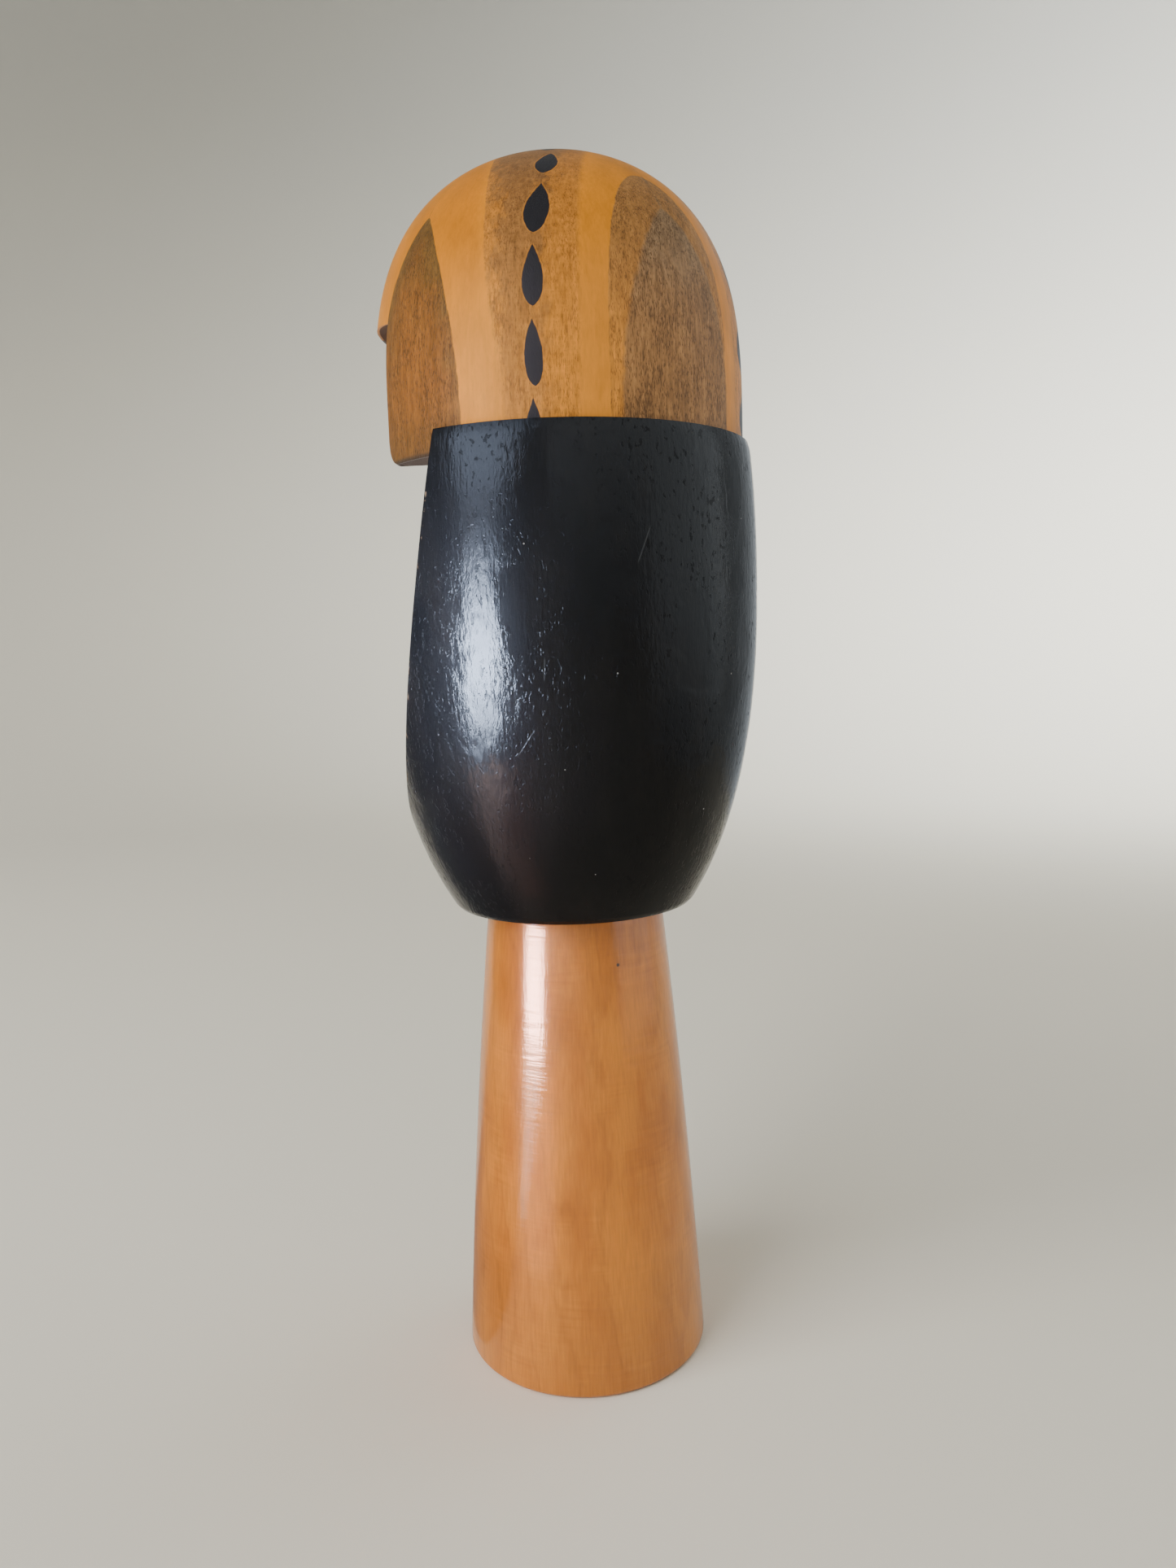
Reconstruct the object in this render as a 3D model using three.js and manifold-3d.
// A turned wooden doll: a dome-topped head, a barrel-shaped torso and a tall conical skirt,
// joined by two dowels. Millimetres, +Z up. The origin is the centre of the base, and the doll
// faces -Y. The head turns on its peg in a shallow round socket in the top of the torso.

import * as THREE from 'three';
import { mergeVertices } from 'three/addons/utils/BufferGeometryUtils.js';
import Module from 'manifold-3d';

const wasm = await Module();
wasm.setup();

// Driving dimensions. Heights are measured from the surface that the doll stands on.
const TOTAL_HEIGHT = 208.6;
const CLEARANCE = 0.3; // between pieces that touch
const EDGE_BREAK = 0.6; // small chamfer on turned edges

const SKIRT_TOP = 82.9;
const SKIRT_BASE_RADIUS = 22;
const SKIRT_TOP_RADIUS = 15.7;
const SKIRT_BULGE = 0.5; // how far the side stands out from a straight cone, at mid height

const TORSO_BOTTOM = SKIRT_TOP + CLEARANCE;
const TORSO_TOP = 161.4;
const TORSO_RADIUS = 33.4; // at the widest level
const TORSO_WIDEST_LEVEL = 139.5;
const TORSO_HALF_HEIGHT = 70.2; // of the whole superellipse that the barrel is a part of
const TORSO_ROUNDNESS = 2.35; // exponent of that superellipse along its height
const FRONT_CUT_TOP_DEPTH = 15.9; // from the axis to the leaning front cut, at the torso's top
const FRONT_CUT_SLOPE = 0.18; // how much further out the cut is per millimetre lower down

const HEAD_BOTTOM = 157.7;
const HEAD_RADIUS = 31.2;
const DOME_START = 163.2;
const DOME_ROUNDNESS = 3.3;
const FACE_WIDTH = 36.2;
const FACE_DEPTH = 17; // from the axis to the face
const FRINGE_LEVEL = 179.7; // the fringe's edge, where it meets the locks of hair
const FRINGE_RISE = 2; // how much higher its middle is
const LOCK_TIP_LENGTH = 1.9; // rounded lower front corner of each lock, front to back
const LOCK_TIP_HEIGHT = 3.9;

const PEG_RADIUS = 6;
const PEG_DEPTH = 14; // how far each dowel enters each of the two pieces it joins

const SOCKET_RADIUS = HEAD_RADIUS + CLEARANCE;
const SOCKET_FLOOR = HEAD_BOTTOM - CLEARANCE;
const BORE_RADIUS = PEG_RADIUS + CLEARANCE;
const CUT_REACH = 60; // larger than anything that is cut

const FINE_SIDES = 64;
const PEG_SIDES = 24;

const honeyWood = { color: 0xc98a41, roughness: 0.35, metalness: 0 };
const blackLacquer = { color: 0x1d1d20, roughness: 0.3, metalness: 0 };
const varnishedWood = { color: 0xbe7f3e, roughness: 0.3, metalness: 0 };
const bareWood = { color: 0xd8b98a, roughness: 0.7, metalness: 0 };

const point = (radius, level) => new THREE.Vector2(radius, level);

// Points along a superellipse arc, from the angle `start` to the angle `end`, where 0 is the
// widest level and a quarter turn is the pole.
function superellipseArc(radius, height, roundness, start, end, steps) {
  const points = [];
  for (let i = 0; i <= steps; i += 1) {
    const angle = start + ((end - start) * i) / steps;
    const rise = Math.sign(angle) * height * Math.abs(Math.sin(angle)) ** (2 / roundness);
    points.push(point(Math.max(0, radius * Math.cos(angle)), rise));
  }
  return points;
}

// A body turned about the Z axis. The profile goes from the axis, round the outside, to the axis.
function turned(profile, sides) {
  return new THREE.LatheGeometry(profile, sides).rotateX(Math.PI / 2);
}

// An outline drawn in X and Z, extruded towards -Y from the plane y = -depth.
function cutFromFront(outline, depth) {
  const geometry = new THREE.ExtrudeGeometry(outline, { depth: CUT_REACH, bevelEnabled: false });
  return geometry.rotateX(Math.PI / 2).translate(0, -depth, 0);
}

// An outline drawn in Y and Z, extruded along X right across the doll.
function cutFromSide(outline) {
  const geometry = new THREE.ExtrudeGeometry(outline, {
    depth: 2 * CUT_REACH,
    bevelEnabled: false,
    curveSegments: 6,
  });
  const turnedToSide = new THREE.Matrix4().makeBasis(
    new THREE.Vector3(0, 1, 0),
    new THREE.Vector3(0, 0, 1),
    new THREE.Vector3(1, 0, 0),
  );
  return geometry.applyMatrix4(turnedToSide).translate(-CUT_REACH, 0, 0);
}

function toSolid(geometry) {
  const bare = geometry.clone();
  bare.deleteAttribute('normal');
  bare.deleteAttribute('uv');
  const merged = mergeVertices(bare, 1e-4);
  const triangles = [];
  for (let i = 0; i < merged.index.count; i += 3) {
    const corners = [0, 1, 2].map((corner) => merged.index.getX(i + corner));
    if (new Set(corners).size === 3) triangles.push(...corners);
  }
  return new wasm.Manifold(
    new wasm.Mesh({
      numProp: 3,
      vertProperties: new Float32Array(merged.attributes.position.array),
      triVerts: new Uint32Array(triangles),
    }),
  );
}

function toGeometry(solid) {
  const mesh = solid.getMesh();
  const geometry = new THREE.BufferGeometry();
  geometry.setAttribute('position', new THREE.BufferAttribute(mesh.vertProperties, 3));
  geometry.setIndex(new THREE.BufferAttribute(mesh.triVerts, 1));
  geometry.computeVertexNormals();
  return geometry;
}

function piece(name, geometry, finish) {
  const mesh = new THREE.Mesh(geometry, new THREE.MeshStandardMaterial(finish));
  mesh.name = name;
  return mesh;
}

function headBlank() {
  const bore = HEAD_BOTTOM + PEG_DEPTH + CLEARANCE;
  const dome = superellipseArc(
    HEAD_RADIUS,
    TOTAL_HEIGHT - DOME_START,
    DOME_ROUNDNESS,
    0,
    Math.PI / 2,
    16,
  ).map(({ x, y }) => point(x, DOME_START + y));
  return turned(
    [
      point(0, bore),
      point(BORE_RADIUS, bore),
      point(BORE_RADIUS, HEAD_BOTTOM),
      point(HEAD_RADIUS - EDGE_BREAK, HEAD_BOTTOM),
      point(HEAD_RADIUS, HEAD_BOTTOM + EDGE_BREAK),
      ...dome,
    ],
    FINE_SIDES,
  );
}

// The window in the front of the head: the face at the back, a lock at each side, the fringe above.
function faceWindow() {
  const half = FACE_WIDTH / 2;
  const outline = new THREE.Shape();
  outline.moveTo(-half, HEAD_BOTTOM - CUT_REACH);
  outline.lineTo(half, HEAD_BOTTOM - CUT_REACH);
  outline.lineTo(half, FRINGE_LEVEL);
  outline.quadraticCurveTo(0, FRINGE_LEVEL + 2 * FRINGE_RISE, -half, FRINGE_LEVEL);
  outline.closePath();
  return cutFromFront(outline, FACE_DEPTH);
}

// Rounds the lower front corner of both locks.
function lockTips() {
  const front = Math.sqrt(HEAD_RADIUS ** 2 - (FACE_WIDTH / 2) ** 2);
  const outline = new THREE.Shape();
  outline.moveTo(-front + LOCK_TIP_LENGTH, HEAD_BOTTOM);
  outline.quadraticCurveTo(-front, HEAD_BOTTOM, -front - 0.1, HEAD_BOTTOM + LOCK_TIP_HEIGHT);
  outline.lineTo(-CUT_REACH, HEAD_BOTTOM + LOCK_TIP_HEIGHT);
  outline.lineTo(-CUT_REACH, HEAD_BOTTOM - LOCK_TIP_HEIGHT);
  outline.lineTo(-front + LOCK_TIP_LENGTH, HEAD_BOTTOM - LOCK_TIP_HEIGHT);
  outline.closePath();
  return cutFromSide(outline);
}

function makeHead() {
  const blank = toSolid(headBlank());
  const carved = blank.subtract(toSolid(faceWindow())).subtract(toSolid(lockTips()));
  return piece('head', toGeometry(carved), honeyWood);
}

function torsoBlank() {
  const angleAt = (level) => {
    const share = Math.abs(level - TORSO_WIDEST_LEVEL) / TORSO_HALF_HEIGHT;
    const angle = Math.asin(share ** (TORSO_ROUNDNESS / 2));
    return Math.sign(level - TORSO_WIDEST_LEVEL) * angle;
  };
  const side = superellipseArc(
    TORSO_RADIUS,
    TORSO_HALF_HEIGHT,
    TORSO_ROUNDNESS,
    angleAt(TORSO_BOTTOM + EDGE_BREAK),
    angleAt(TORSO_TOP - 2 * EDGE_BREAK),
    18,
  ).map(({ x, y }) => point(x, TORSO_WIDEST_LEVEL + y));
  const waistBore = TORSO_BOTTOM + PEG_DEPTH;
  const neckBore = SOCKET_FLOOR - PEG_DEPTH;
  return turned(
    [
      point(0, waistBore),
      point(BORE_RADIUS, waistBore),
      point(BORE_RADIUS, TORSO_BOTTOM),
      point(side[0].x - EDGE_BREAK, TORSO_BOTTOM),
      ...side,
      point(SOCKET_RADIUS + EDGE_BREAK, TORSO_TOP),
      point(SOCKET_RADIUS, TORSO_TOP),
      point(SOCKET_RADIUS, SOCKET_FLOOR),
      point(BORE_RADIUS, SOCKET_FLOOR),
      point(BORE_RADIUS, neckBore),
      point(0, neckBore),
    ],
    FINE_SIDES,
  );
}

// Everything in front of the leaning plane that makes the flat front of the torso.
function frontCut() {
  const depthAt = (level) => FRONT_CUT_TOP_DEPTH + FRONT_CUT_SLOPE * (TORSO_TOP - level);
  const above = TORSO_TOP + PEG_DEPTH;
  const below = TORSO_BOTTOM - PEG_DEPTH;
  const outline = new THREE.Shape();
  outline.moveTo(-depthAt(above), above);
  outline.lineTo(-CUT_REACH, above);
  outline.lineTo(-CUT_REACH, below);
  outline.lineTo(-depthAt(below), below);
  outline.closePath();
  return cutFromSide(outline);
}

function makeTorso() {
  const carved = toSolid(torsoBlank()).subtract(toSolid(frontCut()));
  return piece('torso', toGeometry(carved), blackLacquer);
}

function makeSkirt() {
  const steps = 10;
  const side = [];
  for (let i = 0; i <= steps; i += 1) {
    const share = i / steps;
    const level = EDGE_BREAK + share * (SKIRT_TOP - 2 * EDGE_BREAK);
    const cone = THREE.MathUtils.lerp(SKIRT_BASE_RADIUS, SKIRT_TOP_RADIUS, share);
    side.push(point(cone + 4 * SKIRT_BULGE * share * (1 - share), level));
  }
  const bore = SKIRT_TOP - PEG_DEPTH;
  const profile = [
    point(0, 0),
    point(SKIRT_BASE_RADIUS - EDGE_BREAK, 0),
    ...side,
    point(SKIRT_TOP_RADIUS - EDGE_BREAK, SKIRT_TOP),
    point(BORE_RADIUS, SKIRT_TOP),
    point(BORE_RADIUS, bore),
    point(0, bore),
  ];
  return piece('skirt', turned(profile, FINE_SIDES), varnishedWood);
}

// A dowel with chamfered ends, between two levels.
function makePeg(name, bottom, top) {
  const profile = [
    point(0, bottom),
    point(PEG_RADIUS - EDGE_BREAK, bottom),
    point(PEG_RADIUS, bottom + EDGE_BREAK),
    point(PEG_RADIUS, top - EDGE_BREAK),
    point(PEG_RADIUS - EDGE_BREAK, top),
    point(0, top),
  ];
  return piece(name, turned(profile, PEG_SIDES), bareWood);
}

const standing = new THREE.Group();
standing.add(makeSkirt());
standing.add(makePeg('waist_peg', SKIRT_TOP - PEG_DEPTH + CLEARANCE, TORSO_BOTTOM + PEG_DEPTH - CLEARANCE));
standing.add(makeTorso());

const turning = new THREE.Group();
turning.add(makePeg('neck_peg', SOCKET_FLOOR - PEG_DEPTH + CLEARANCE, HEAD_BOTTOM + PEG_DEPTH));
turning.add(makeHead());

const doll = new THREE.Group();
doll.add(standing, turning);

export default doll;
